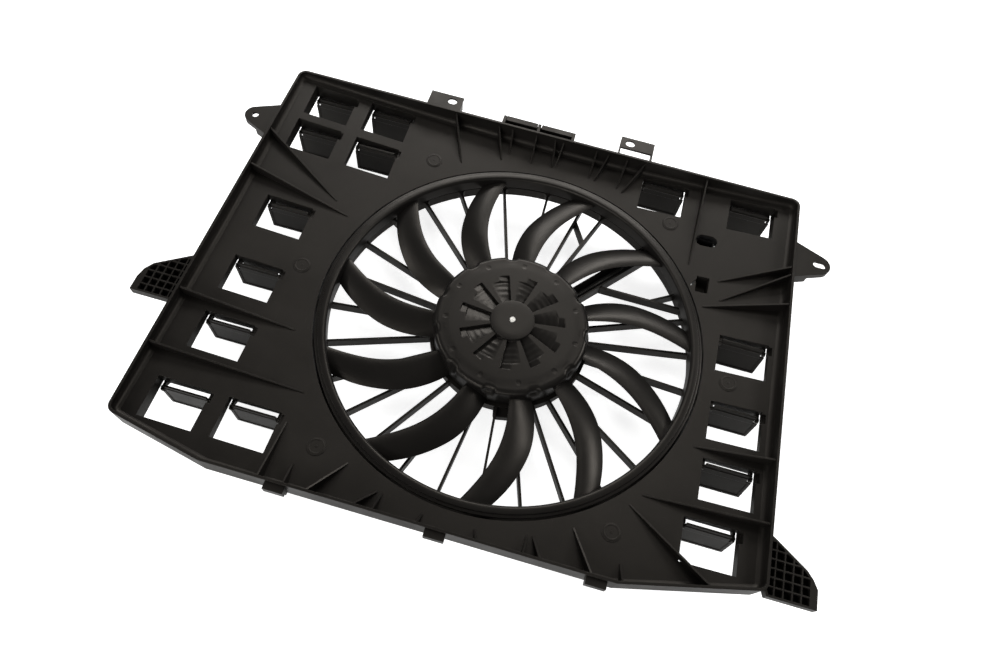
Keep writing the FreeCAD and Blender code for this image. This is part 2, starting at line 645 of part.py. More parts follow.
def fan_ring():
    """Ring that joins the blade tips, with a rounded lip over the tunnel's edge."""
    wall_out = RING_IN_R + RING_WALL
    crest = RING_IN_R + 6.0
    steps = 6
    inner = []
    for k in range(steps + 1):
        a = math.radians(180 - 90.0 * k / steps)
        inner.append((crest + 6.0 * math.cos(a), LIP_TOP - 6.0 + 6.0 * math.sin(a)))
    for k in range(1, steps):
        a = math.radians(90 - 62.0 * k / steps)
        inner.append((crest + (RING_OUT_R - crest) * math.cos(a), LIP_TOP - 5.0 + 5.0 * math.sin(a)))
    rim = [(RING_OUT_R, LIP_TOP - 4.0), (RING_OUT_R, LIP_TOP - 6.0), (RING_OUT_R - 2.0, LIP_TOP - 5.2)]
    back = [(crest + 3, LIP_TOP - 2.6), (crest, LIP_TOP - 2.4), (wall_out + 1, LIP_TOP - 4.2), (wall_out, LIP_TOP - 7)]
    return turned([(RING_IN_R, RING_BOTTOM)] + inner + rim + back + [(wall_out, RING_BOTTOM)])


def lead_route():
    """Tangent route of the motor lead: straight along its channel, then towards the connector."""
    start = polar(MOTOR_R - 2, CHANNEL_ANGLE, CABLE_Z)
    turn = polar(CABLE_TURN_R, CHANNEL_ANGLE, CABLE_Z)
    end = Vector(SLOT_X - SLOT_W / 2 + 2, SLOT_Y, CABLE_Z)
    return start, turn, end


def motor_cable():
    """Motor lead as one tube along two straight runs and a tangent arc."""
    start, turn, end = lead_route()
    a = (start - turn).normalize()
    b = (end - turn).normalize()
    bend = math.pi - a.getAngle(b)
    reach = 0.45 * min((start - turn).Length, (end - turn).Length)
    radius = reach / math.tan(bend / 2)
    p = turn + a * reach
    q = turn + b * reach
    centre = turn + (a + b).normalize() * math.hypot(reach, radius)
    middle = centre + (turn - centre).normalize() * radius
    path = Part.Wire([Part.makeLine(start, p), Part.Arc(p, middle, q).toShape(), Part.makeLine(q, end)])
    ring = Part.Wire([Part.makeCircle(CABLE_R - 0.3, start, a)])
    tube = path.makePipeShell([ring], True, True)
    length = path.Length
    print("lead bend radius", round(radius, 1), "length", round(length, 1),
          "volume ratio", round(tube.Volume / (math.pi * (CABLE_R - 0.3) ** 2 * length), 4))
    return tube


def connector():
    """Plug housing clipped behind the plate's long slot, with its contact cavity open to the front."""
    w = SLOT_W / 2 - PLUG_GAP
    h = SLOT_H / 2 - PLUG_GAP
    top = plate_z(SLOT_X, SLOT_Y) - PLATE_T - 4
    low = CABLE_Z - 8
    body = box(SLOT_X - w, SLOT_X + w, SLOT_Y - h, SLOT_Y + h, low, top)
    flange_z = plate_z(SLOT_X + SLOT_W / 2 + 4, SLOT_Y) + 1
    flange = box(SLOT_X - w - 4, SLOT_X + w + 4, SLOT_Y - h - 4, SLOT_Y + h + 4, top - 3, flange_z)
    flange = flange.cut(under_plate_back()).cut(long_hole(SLOT_X, SLOT_Y, SLOT_W, SLOT_H))
    cavity = box(SLOT_X - w + 2, SLOT_X + w - 2, SLOT_Y - h + 2, SLOT_Y + h - 2, top - 14, top + 1)
    entry = Part.makeCylinder(CABLE_R - 0.3, 6, Vector(SLOT_X - w - 2, SLOT_Y, CABLE_Z), Vector(1, 0, 0))
    return biggest(body.fuse(flange).cut(cavity).cut(entry).removeSplitter())


def under_plate_back():
    """Everything in front of the plate's rear face."""
    far = 620.0
    return turned([(OPENING_R, PLATE_Z - PLATE_T), (far, plate_z(far, 0) - PLATE_T), (far, 200), (OPENING_R, 200)])


def tangent_lug(hx, hy, radius, wall_x, half, z0, z1):
    """Lug whose sides run from the wall tangent to a round end."""
    side = 1 if hx > wall_x else -1
    reach = abs(hx - wall_x)
    tilt = math.atan2(half, reach)
    angle = math.pi - tilt - math.acos(radius / math.hypot(reach, half))
    tx = radius * math.cos(angle)
    ty = radius * math.sin(angle)
    body = prism([(wall_x, hy - half), (wall_x, hy + half), (hx + side * tx, hy + ty), (hx + side * tx, hy - ty)], z0, z1)
    return body.fuse(cylinder(radius, z0, z1, hx, hy)).removeSplitter()


def ear(hx, wall_x, slotted):
    """Fixing ear with its edge flange and bolt hole."""
    low = EAR_TOP - 16
    side = 1 if hx > wall_x else -1
    outer = tangent_lug(hx, EAR_Y, EAR_R, wall_x, EAR_ROOT, low, EAR_TOP)
    inner = tangent_lug(hx, EAR_Y, EAR_R - 2.5, wall_x - side * 1, EAR_ROOT - 2.5, low - 1, EAR_TOP - EAR_T)
    skirt_cut = prism([(wall_x + side * 22, EAR_Y - 60), (hx + side * 60, EAR_Y - 60),
                       (hx + side * 60, EAR_Y + 60), (wall_x + side * 22, EAR_Y + 60)], low - 1, low + 8)
    solid = outer.cut(inner).cut(skirt_cut)
    if slotted:
        return solid.cut(long_hole(hx, EAR_Y, EAR_SLOT_L, 2 * EAR_HOLE_R))
    return solid.cut(cylinder(EAR_HOLE_R, 0, 200, hx, EAR_Y))


def grid_wing(points, z_top, pitch, wall_x):
    """Air blocker outside the shroud: a shallow tray of square cells, open to the front."""
    depth = 9.0
    border = 2.4
    solid = prism(points, z_top - depth - 1.5, z_top)
    cells = []
    xs = [p[0] for p in points]
    ys = [p[1] for p in points]
    cols = int((max(xs) - min(xs) - border) / pitch)
    rows = int((max(ys) - min(ys) - border) / pitch)
    side = 1 if max(xs) > wall_x + 5 else -1
    for i in range(cols):
        for j in range(rows):
            x = wall_x + side * (border + pitch * i)
            y = min(ys) + border + pitch * j
            x0, x1 = min(x, x + side * (pitch - 1.6)), max(x, x + side * (pitch - 1.6))
            cells.append(box(x0, x1, y, y + pitch - 1.6, z_top - depth, z_top + 1))
    cut = Part.makeCompound(cells).common(inset_prism(points, border, z_top - depth - 1, z_top + 2))
    return solid.cut(cut)


def inset_prism(points, inset, z0, z1):
    """Prism over a convex polygon moved inwards."""
    corners = [Vector(x, y, z0) for x, y in points]
    wire = Part.makePolygon(corners + corners[:1])
    return Part.Face(wire.makeOffset2D(-inset, 2)).extrude(Vector(0, 0, z1 - z0))


def left_grid_wing():
    """Left air blocker."""
    x = RIM_LEFT
    points = [(x, -98), (x, -29), (x - 9, -34), (x - 47, -58), (x - 54, -68), (x - 57, -80), (x - 57, -98)]
    return grid_wing(points, RIM_Z - 15, 9.6, x)


def right_grid_wing():
    """Right air blocker, beside the lower corner."""
    x = RIM_RIGHT
    y = RIGHT_CORNER_Y + 9
    points = [(x, y), (x + 4, y - 11), (x + 57, y - 11), (x + 57, y + 10), (x + 52, y + 19), (x + 45, y + 27),
              (x + 8, y + 52), (x, y + 56)]
    return grid_wing(points, RIM_Z - 15, 9.6, x)


def top_left_bracket():
    """Flat tab on the top wall with a hole near its right side, stiffened by a web."""
    top = RIM_Z - 4
    y0 = RIM_UP
    solid = box(-201, -154, y0, y0 + 28.5, top - 2.5, top)
    solid = solid.fuse(box(-156, -153.5, y0, y0 + 20, top - 14, top))
    solid = solid.fuse(box(-201, -198.5, y0, y0 + 20, top - 14, top))
    return solid.cut(long_hole(-168, y0 + 17.5, 13, 10.4)).removeSplitter()


def top_right_bracket():
    """Tab held off the top wall by two legs, with a hole near its left side."""
    top = RIM_Z - 4
    y0 = RIM_UP
    solid = box(74, 121, y0 + 15, y0 + 35, top - 2.5, top)
    solid = solid.fuse(box(74, 76, y0, y0 + 35, top - 12, top))
    solid = solid.fuse(box(119, 121, y0, y0 + 35, top - 12, top))
    return solid.cut(long_hole(87.6, y0 + 25, 13, 10.4)).removeSplitter()


def hose_cradle():
    """Double cradle on the top wall: two pockets between end hooks and a middle post."""
    y0 = RIM_UP
    x0, x1, xm = -92.0, 11.0, -40.2
    floor = RIM_Z - 22
    solid = box(x0, x1, y0, y0 + 12, floor, floor + 2.5)
    solid = solid.fuse(box(x0, x1, y0 + 9.5, y0 + 12, floor, RIM_Z - 4))
    for a, b in ((x0 + 4, xm - 3), (xm + 3, x1 - 4)):
        solid = solid.fuse(box(a, b, y0 + 9.5, y0 + 17.5, RIM_Z - 6.5, RIM_Z - 4))
    for x in (x0, xm - 2, x1 - 4):
        solid = solid.fuse(box(x, x + 4, y0, y0 + 15, floor, RIM_Z - 1.5))
    return solid.removeSplitter()


def lower_feet():
    """Three hooks on the bottom wall that drop into the radiator's lower brackets."""
    feet = []
    for x in (-185.0, -13.0, 156.5):
        y = RIM_DOWN
        head = prism([(x - 11, y), (x + 11, y), (x + 11, y - 8.5), (x - 11, y - 8.5)], RIM_Z - 14, RIM_Z - 3)
        stem = box(x - 8, x + 8, y - 3, y, WALL_LOW, RIM_Z - 14)
        feet.append(head.fuse(stem).removeSplitter())
    return Part.makeCompound(feet)


def build():
    """Make and save every sub-part."""
    inner = rounded_prism(WALL, 0, 200)
    under = under_plate()
    save("rim_wall", rim_wall())
    far = 500
    save("upper_left_plate", plate_section(-far, SPLIT_LEFT_X, SPLIT_UPPER_Y, far, inner, under))
    save("left_plate", plate_section(-far, SPLIT_LEFT_X, SPLIT_LOWER_Y, SPLIT_UPPER_Y, inner, under))
    save("lower_left_plate", plate_section(-far, SPLIT_LEFT_X, -far, SPLIT_LOWER_Y, inner, under))
    save("centre_plate", two_fields(plate_section(SPLIT_LEFT_X, SPLIT_RIGHT_X, -far, far, inner, under)))
    save("right_plate", plate_section(SPLIT_RIGHT_X, far, -far, far, inner, under))
    save("stiffening_ribs", stiffening_ribs(inner, under))
    save("flap_hoods", Part.makeCompound([flap_hood(x, y) for x, y in WINDOWS.values()]))
    for name, (x, y) in WINDOWS.items():
        save("flap_" + name, flap(x, y, LEANS.get(name, 0.0)))
    save("fan_barrel", fan_barrel())
    save("stator_ring", stator_ring())
    save("stator_struts", stator_struts())
    save("cable_channel", cable_channel())
    save("motor_carrier", motor_carrier())
    save("left_ear", ear(LEFT_EAR_X, RIM_LEFT, False))
    save("right_ear", ear(RIGHT_EAR_X, RIM_RIGHT, True))
    save("left_grid_wing", left_grid_wing())
    save("right_grid_wing", right_grid_wing())
    save("top_left_bracket", top_left_bracket())
    save("top_right_bracket", top_right_bracket())
    save("hose_cradle", hose_cradle())
    save("lower_feet", lower_feet())
    save("motor_housing", motor_housing())
    save("motor_cover", motor_cover())
    save("stator_core", stator_core())
    save("front_bearing", bearing(MOTOR_TOP - MOTOR_WALL - BEARING_H))
    save("rear_bearing", bearing(STATOR_BOTTOM - FLANGE_T - BEARING_H))
    save("motor_screws", motor_screws())
    save("motor_cable", motor_cable())
    save("connector", connector())
    save("motor_shaft", motor_shaft())
    save("motor_rotor", motor_rotor())
    save("fan_hub", fan_hub())
    save("fan_blades", fan_blades())
    save("fan_ring", fan_ring())


def two_fields(shape):
    """The middle section's fields above and below the fan."""
    return Part.makeCompound(shape.Solids)


build()
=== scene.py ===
import json
import math

import bpy
import numpy as np
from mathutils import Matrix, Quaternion, Vector


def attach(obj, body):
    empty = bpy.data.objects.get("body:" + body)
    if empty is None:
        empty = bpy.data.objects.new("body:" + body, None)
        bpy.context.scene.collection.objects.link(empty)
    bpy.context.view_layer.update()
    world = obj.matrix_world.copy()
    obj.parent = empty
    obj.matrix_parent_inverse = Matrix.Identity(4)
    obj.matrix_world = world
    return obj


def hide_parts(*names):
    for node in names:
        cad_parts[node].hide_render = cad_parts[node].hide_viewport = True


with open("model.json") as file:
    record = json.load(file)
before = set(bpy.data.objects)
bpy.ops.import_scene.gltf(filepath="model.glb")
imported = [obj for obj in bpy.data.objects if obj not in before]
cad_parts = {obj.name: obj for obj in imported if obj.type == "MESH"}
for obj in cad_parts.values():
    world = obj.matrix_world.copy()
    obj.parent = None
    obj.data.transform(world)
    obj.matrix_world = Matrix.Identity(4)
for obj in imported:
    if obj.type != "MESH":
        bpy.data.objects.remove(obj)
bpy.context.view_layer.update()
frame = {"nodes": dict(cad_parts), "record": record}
nodes = frame["nodes"]
mm = 0.001
print("frame loaded:", len(nodes), "nodes")


def newMaterial(name):
    material = bpy.data.materials.new(name)
    material.use_nodes = True
    return material, material.node_tree, material.node_tree.nodes["Principled BSDF"]


def addNode(tree, kind, inputs=None, **settings):  # one shader node with its settings and fixed inputs
    node = tree.nodes.new("ShaderNode" + kind)
    for key, value in settings.items():
        setattr(node, key, value)
    for key, value in (inputs or {}).items():
        node.inputs[key].default_value = value
    return node


def rampOf(tree, source, span, low=0.0, high=1.0):  # a grey value stretched from its span to low and high
    start, end = span
    node = addNode(tree, "MapRange", {"From Min": start, "From Max": end, "To Min": low, "To Max": high})
    tree.links.new(source, node.inputs["Value"])
    return node.outputs["Result"]


def blendColour(tree, factor, first, second):  # colours or sockets mixed by a factor socket
    node = addNode(tree, "Mix", data_type="RGBA")
    tree.links.new(factor, node.inputs["Factor"])
    for socket, value in ((node.inputs[6], first), (node.inputs[7], second)):
        if isinstance(value, tuple):
            socket.default_value = (*value, 1.0)
        else:
            tree.links.new(value, socket)
    return node.outputs[2]


def blendValue(tree, operation, first, second):  # numbers or sockets joined by one maths operation
    node = addNode(tree, "Math", operation=operation)
    for socket, value in zip(node.inputs, (first, second)):
        if isinstance(value, (int, float)):
            socket.default_value = value
        else:
            tree.links.new(value, socket)
    return node.outputs[0]


# Noise whose pattern is stretched along the axes and turned about Z.
def noiseOf(tree, coords, scale, detail, rough, stretch=(1, 1, 1), turn=0.0):
    mapping = addNode(tree, "Mapping", {"Scale": stretch, "Rotation": (0, 0, turn)})
    noise = addNode(tree, "TexNoise", {"Scale": scale, "Detail": detail, "Roughness": rough})
    tree.links.new(coords, mapping.inputs["Vector"])
    tree.links.new(mapping.outputs["Vector"], noise.inputs["Vector"])
    return noise.outputs["Fac"]


def spannedNoise(tree, coords, look, name):  # a look's noise by name, stretched over its span
    return rampOf(tree, noiseOf(tree, coords, *look[name]), look[name + "Span"])


# The plain normal where flush sections of the plate meet, and the rounded one elsewhere.
def withoutSeams(tree, coords, seams, facing, rounded):
    split = addNode(tree, "SeparateXYZ")
    tree.links.new(coords, split.inputs[0])
    nearest = None
    for axis, places in seams["places"].items():
        for place in places:
            away = blendValue(tree, "SUBTRACT", split.outputs[axis], place)
            away = blendValue(tree, "ABSOLUTE", away, 0.0)
            nearest = away if nearest is None else blendValue(tree, "MINIMUM", nearest, away)
    near = blendValue(tree, "LESS_THAN", nearest, seams["width"])
    low = blendValue(tree, "LESS_THAN", split.outputs["Z"], seams["below"])
    mix = addNode(tree, "Mix", data_type="VECTOR")
    tree.links.new(blendValue(tree, "MULTIPLY", near, low), mix.inputs["Factor"])
    tree.links.new(rounded, mix.inputs[4])
    tree.links.new(facing, mix.inputs[5])
    return mix.outputs[1]


def addBump(tree, look, height, rounded, shader):  # fine relief over the rounded edges
    bump = addNode(tree, "Bump", {"Strength": look["grainStrength"], "Distance": look["grainDepth"]})
    tree.links.new(height, bump.inputs["Height"])
    tree.links.new(rounded, bump.inputs["Normal"])
    tree.links.new(bump.outputs["Normal"], shader.inputs["Normal"])


# Moulded plastic: a cloudy tone, fine grain over shallow waves, edges lightened partly as rubbed wear and
# partly as a painted highlight, hairline scuffs two ways and specks of dust in sparse patches. Edges are
# where the rounded normal turns away from the flat one.
def mouldedPlastic(name, look):
    material, tree, shader = newMaterial(name)
    link = tree.links.new
    coords = addNode(tree, "TexCoord").outputs["Object"]
    facing = addNode(tree, "NewGeometry").outputs["Normal"]
    rounded = addNode(tree, "Bevel", {"Radius": look["edgeRadius"]}, samples=4).outputs["Normal"]
    if look["seams"]:
        rounded = withoutSeams(tree, coords, look["seams"], facing, rounded)
    dot = addNode(tree, "VectorMath", operation="DOT_PRODUCT")
    link(rounded, dot.inputs[0])
    link(facing, dot.inputs[1])
    edge = rampOf(tree, dot.outputs["Value"], look["edgeSpan"])
    colour = blendColour(tree, spannedNoise(tree, coords, look, "cloud"), look["dark"], look["light"])
    # Painted highlight and wear: the edges are lightened towards the light colour in patches, partly as
    # rubbed plastic and partly as a painted bright edge line.
    wornAndHighlitEdge = blendValue(tree, "MULTIPLY", edge, spannedNoise(tree, coords, look, "edgePatches"))
    wornAndHighlitEdge = blendValue(tree, "MULTIPLY", wornAndHighlitEdge, look["edgeWearAndHighlight"])
    colour = blendColour(tree, wornAndHighlitEdge, colour, look["wearAndHighlight"])
    ways = [spannedNoise(tree, coords, look, way) for way in ("scuffLeft", "scuffRight")]
    scuffs = blendValue(tree, "MULTIPLY", blendValue(tree, "MAXIMUM", *ways), look["scuffs"])
    speck = addNode(tree, "TexVoronoi", {"Scale": look["specks"], "Randomness": 1.0})
    link(coords, speck.inputs["Vector"])
    specks = rampOf(tree, speck.outputs["Distance"], look["specksSpan"])
    dust = blendValue(tree, "MULTIPLY", specks, spannedNoise(tree, coords, look, "sparse"))
    dust = blendValue(tree, "MULTIPLY", dust, look["dust"])
    colour = blendColour(tree, blendValue(tree, "MAXIMUM", scuffs, dust), colour, look["wearAndHighlight"])
    link(colour, shader.inputs["Base Color"])
    patch = noiseOf(tree, coords, *look["patch"])
    patch = rampOf(tree, patch, look["patchSpan"], look["smooth"], look["rough"])
    gloss = blendValue(tree, "SUBTRACT", patch, blendValue(tree, "MULTIPLY", edge, look["edgeGloss"]))
    scuffed = blendValue(tree, "MULTIPLY", scuffs, look["scuffRough"])
    link(blendValue(tree, "ADD", gloss, scuffed), shader.inputs["Roughness"])
    waves = blendValue(tree, "MULTIPLY", noiseOf(tree, coords, *look["waves"]), look["sink"])
    height = blendValue(tree, "ADD", noiseOf(tree, coords, *look["grain"]), waves)
    addBump(tree, look, height, rounded, shader)
    shader.inputs["Specular IOR Level"].default_value = look["specular"]
    shader.inputs["Specular Tint"].default_value = (*look["sheen"], 1.0)
    return material


def metalFinish(name, look):  # metal, or paint on it, with fine lathe or grain marks and a few stains
    material, tree, shader = newMaterial(name)
    coords = addNode(tree, "TexCoord").outputs["Object"]
    shader.inputs["Metallic"].default_value = look["metallic"]
    colour = blendColour(tree, spannedNoise(tree, coords, look, "cloud"), look["dark"], look["light"])
    tree.links.new(colour, shader.inputs["Base Color"])
    streak = noiseOf(tree, coords, *look["streak"])
    gloss = rampOf(tree, streak, look["streakSpan"], look["smooth"], look["rough"])
    tree.links.new(gloss, shader.inputs["Roughness"])
    bevel = addNode(tree, "Bevel", {"Radius": look["edgeRadius"]}, samples=4)
    addBump(tree, look, streak, bevel.outputs["Normal"], shader)
    return material


# A noise is its scale, detail and roughness, then its stretch and turn. A span is where it starts and ends.
plasticBase = {
    # The light colour marks wear, scuffs and dust, and along the edges it is also a painted highlight.
    "dark": (0.0046, 0.0041, 0.0037), "light": (0.0104, 0.0093, 0.0082), "wearAndHighlight": (0.055, 0.052, 0.048),
    "cloud": (7.0, 5.0, 0.6), "cloudSpan": (0.32, 0.68),
    "patch": (16.1, 4.0, 0.55), "patchSpan": (0.3, 0.7), "smooth": 0.36, "rough": 0.54,
    "edgeRadius": 0.0009, "edgeSpan": (0.995, 0.80), "edgeWearAndHighlight": 0.6, "edgeGloss": 0.07,
    "edgePatches": (90.0, 4.0, 0.7), "edgePatchesSpan": (0.46, 0.66), "scuffs": 0.16, "scuffRough": 0.12,
    "scuffLeft": (30.0, 6.0, 0.75, (1, 22, 6), 0.6), "scuffLeftSpan": (0.63, 0.72),
    "scuffRight": (26.0, 6.0, 0.75, (20, 1, 6), 0.25), "scuffRightSpan": (0.64, 0.73),
    "dust": 0.5, "specks": 420.0, "specksSpan": (0.11, 0.05),
    "sparse": (55.0, 2.0, 0.5), "sparseSpan": (0.55, 0.62),
    "grain": (1500.0, 2.0, 0.6), "waves": (38.0, 2.0, 0.4), "sink": 0.5,
    "grainStrength": 0.16, "grainDepth": 0.00012,
    "seams": None, "specular": 0.2, "sheen": (1.0, 0.91, 0.80)}
plateSeams = {"places": {"X": (-0.198, 0.188), "Y": (0.130, -0.166)}, "width": 0.0014, "below": 0.090}
metalBase = {
    "metallic": 1.0, "cloudSpan": (0.3, 0.7), "streak": (900.0, 3.0, 0.6), "streakSpan": (0.3, 0.7),
    "edgeRadius": 0.0003, "grainStrength": 0.15, "grainDepth": 0.0001}
finishes = {
    "shroud_plastic": mouldedPlastic("shroudPlastic", plasticBase | {"seams": plateSeams}),
    "fan_plastic": mouldedPlastic("fanPlastic", plasticBase | {
        "dark": (0.0060, 0.0055, 0.0051), "light": (0.0085, 0.0078, 0.0072),
        "smooth": 0.29, "rough": 0.39, "grainStrength": 0.08, "scuffs": 0.10, "edgeRadius": 0.0006}),
    "flap_plastic": mouldedPlastic("flapPlastic", plasticBase | {
        "dark": (0.0042, 0.0038, 0.0034), "light": (0.0062, 0.0056, 0.0050),
        "smooth": 0.40, "rough": 0.50, "specular": 0.15}),
    "connector_plastic": mouldedPlastic("connectorPlastic", plasticBase | {
        "dark": (0.009, 0.009, 0.0095), "light": (0.013, 0.013, 0.0135), "smooth": 0.32, "rough": 0.42}),
    "cable_jacket": mouldedPlastic("sleevePlastic", plasticBase | {
        "dark": (0.010, 0.010, 0.010), "light": (0.018, 0.018, 0.017), "smooth": 0.28, "rough": 0.5}),
    "motor_can": metalFinish("motorCan", metalBase | {
        "metallic": 0.0, "dark": (0.016, 0.016, 0.017), "light": (0.026, 0.026, 0.027),
        "cloud": (14.0, 5.0, 0.6), "streak": (700.0, 3.0, 0.6),
        "smooth": 0.35, "rough": 0.5, "edgeRadius": 0.0006, "grainStrength": 0.2}),
    "motor_cover": metalFinish("motorCover", metalBase | {
        "dark": (0.36, 0.36, 0.37), "light": (0.50, 0.50, 0.51), "cloud": (22.0, 5.0, 0.6),
        "smooth": 0.42, "rough": 0.58, "edgeRadius": 0.0008, "grainStrength": 0.3}),
    "core_steel": metalFinish("coreSteel", metalBase | {
        "dark": (0.25, 0.24, 0.23), "light": (0.4, 0.39, 0.37), "cloud": (30.0, 5.0, 0.6),
        "streak": (500.0, 3.0, 0.6, (0.05, 0.05, 4)), "smooth": 0.35, "rough": 0.5, "grainStrength": 0.3}),
    "bearing_steel": metalFinish("bearingSteel", metalBase | {
        "dark": (0.5, 0.5, 0.5), "light": (0.62, 0.62, 0.62), "cloud": (40.0, 5.0, 0.6),
        "streak": (900.0, 3.0, 0.6, (1, 1, 6)), "smooth": 0.18, "rough": 0.3,
        "edgeRadius": 0.0004, "grainStrength": 0.1}),
    "screw_steel": metalFinish("screwSteel", metalBase | {
        "dark": (0.42, 0.42, 0.40), "light": (0.6, 0.6, 0.57), "cloud": (120.0, 5.0, 0.6),
        "smooth": 0.25, "rough": 0.42}),
    "shaft_steel": metalFinish("shaftSteel", metalBase | {
        "dark": (0.30, 0.29, 0.27), "light": (0.46, 0.45, 0.42), "cloud": (160.0, 5.0, 0.6),
        "streak": (900.0, 3.0, 0.6, (1, 1, 6)), "smooth": 0.22, "rough": 0.4})}
slotOfNode = {part["node"]: part["material_slot"] for part in frame["record"]["subparts"]}
for nodeName, node in nodes.items():
    node.data.materials.clear()
    node.data.materials.append(finishes[slotOfNode[nodeName]])
print("finishes set")

sharpFrom = math.radians(38)  # faces that meet at less than this look rounded


def addObject(name, data):
    thing = bpy.data.objects.new(name, data)
    bpy.context.scene.collection.objects.link(thing)
    return thing


# One mesh of closed shells over rows of points, in millimetres. Each row closes on itself, and the rows
# close into a ring, or else the first and last row are capped.
def gridPiece(name, points, body, slot, ringed):
    shells = points if points.ndim == 4 else points[None]
    count, rows, columns = shells.shape[:3]
    row, column = np.meshgrid(np.arange(rows if ringed else rows - 1), np.arange(columns), indexing="ij")
    nextRow, nextColumn = (row + 1) % rows, (column + 1) % columns
    quads = np.stack([row * columns + column, row * columns + nextColumn,
                      nextRow * columns + nextColumn, nextRow * columns + column], axis=-1).reshape(-1, 4)
    offsets = np.arange(count)[:, None, None] * rows * columns
    faces = (quads[None] + offsets).reshape(-1, 4).tolist()
    if not ringed:
        ends = np.stack([np.arange(columns)[::-1], (rows - 1) * columns + np.arange(columns)])
        faces += (ends[None] + offsets).reshape(-1, columns).tolist()
    mesh = bpy.data.meshes.new(name)
    mesh.from_pydata((shells.reshape(-1, 3) * mm).tolist(), [], faces)
    mesh.update()
    piece = addObject(name, mesh)
    mesh.materials.append(finishes[slot])
    mesh.polygons.foreach_set("use_smooth", [True] * len(mesh.polygons))
    mesh.set_sharp_from_angle(angle=sharpFrom)
    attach(piece, body)
    return piece


plateLook = {"at": 238.5, "height": 66.0, "slope": 0.089}  # radius and height where the plate starts
coveLook = {
    "corners": ((-381.0, 283.0, 8.0), (-381.0, -242.30, 8.0), (-268.41, -265.0, 0.0), (176.30, -265.0, 0.0),
                (325.0, -230.62, 8.0), (325.0, 283.0, 8.0)),  # inside of the wall: x, y and corner radius
    "radius": 5.6, "step": 4.0, "bury": 0.4, "arcPoints": 7, "cornerPoints": 7}


def unitOf(vector):
    return vector / np.linalg.norm(vector)


# Points and inward normals round a polygon with rounded corners. At each corner an arc of its radius
# touches both sides, and a bare corner is one point. Even steps follow along the side up to the next arc.
def walkCorners(look):
    spots, inward = [], []
    corners = np.array(look["corners"])
    places, radii = corners[:, :2], corners[:, 2]
    sides = np.roll(places, -1, axis=0) - places
    for index, radius in enumerate(radii):
        ahead = (index + 1) % len(radii)
        here, length = places[index], np.linalg.norm(sides[index])
        before, after, nextAfter = unitOf(sides[index - 1]), unitOf(sides[index]), unitOf(sides[ahead])
        turn = math.acos(np.clip(before @ after, -1, 1))
        inside = unitOf(np.array((-before[1] - after[1], before[0] + after[0])))
        if radius:
            swing = np.linspace(-0.5, 0.5, look["cornerPoints"]) * turn
            out = np.stack((-inside[0] * np.cos(swing) + inside[1] * np.sin(swing),
                            -inside[0] * np.sin(swing) - inside[1] * np.cos(swing)), axis=-1)
            spots.append(here + inside * radius / math.cos(turn / 2) + out * radius)
            inward.append(-out)
        else:
            spots.append(here[None])
            inward.append(inside[None] / math.cos(turn / 2))
        cut = radius * math.tan(turn / 2)
        nextCut = radii[ahead] * math.tan(math.acos(np.clip(after @ nextAfter, -1, 1)) / 2)
        reach = np.arange(cut + look["step"], length - nextCut - look["step"] / 2, look["step"])[:, None]
        spots.append(here + after * reach)
        inward.append(np.tile((-after[1], after[0]), (len(reach), 1)))
    return np.concatenate(spots), np.concatenate(inward)


# The cove: round the inside of the wall, a quarter circle hollowed from the corner between wall and plate.
# A row lies at each step of the path. Its points run from the wall down the hollow arc to the plate, whose
# height grows with the distance from the fan, and back through the corner below the plate.
def addCove(look, plate):
    spots, inward = walkCorners(look)
    radius, bury = look["radius"], look["bury"]
    angles = np.linspace(0, math.pi / 2, look["arcPoints"])
    out = np.concatenate(([-bury], radius * (1 - np.cos(angles)), [radius, -bury]))
    rise = np.concatenate(([radius], radius * (1 - np.sin(angles)), [-bury, -bury]))
    flat = spots[:, None, :] + inward[:, None, :] * out[None, :, None]
    base = plate["height"] + (np.hypot(flat[..., 0], flat[..., 1]) - plate["at"]) * plate["slope"]
    points = np.concatenate((flat, (base + rise[None, :])[..., None]), axis=2)
    gridPiece("wallCove", points[:, ::-1], "shroud", "shroud_plastic", True)


addCove(coveLook, plateLook)
print("cove made")

leadLook = {
    "start": (52.709, 62.816, 36.5), "turn": (168.410, 200.704, 36.5), "end": (205.4, 198.0, 36.5),
    "share": 0.45, "radius": 4.15, "groove": 0.55, "pitch": 2.7, "ridgeGain": 1.6, "ridgeLift": 0.7,
    "waver": 0.08, "waverRate": 0.31, "step": 0.34, "around": 28}


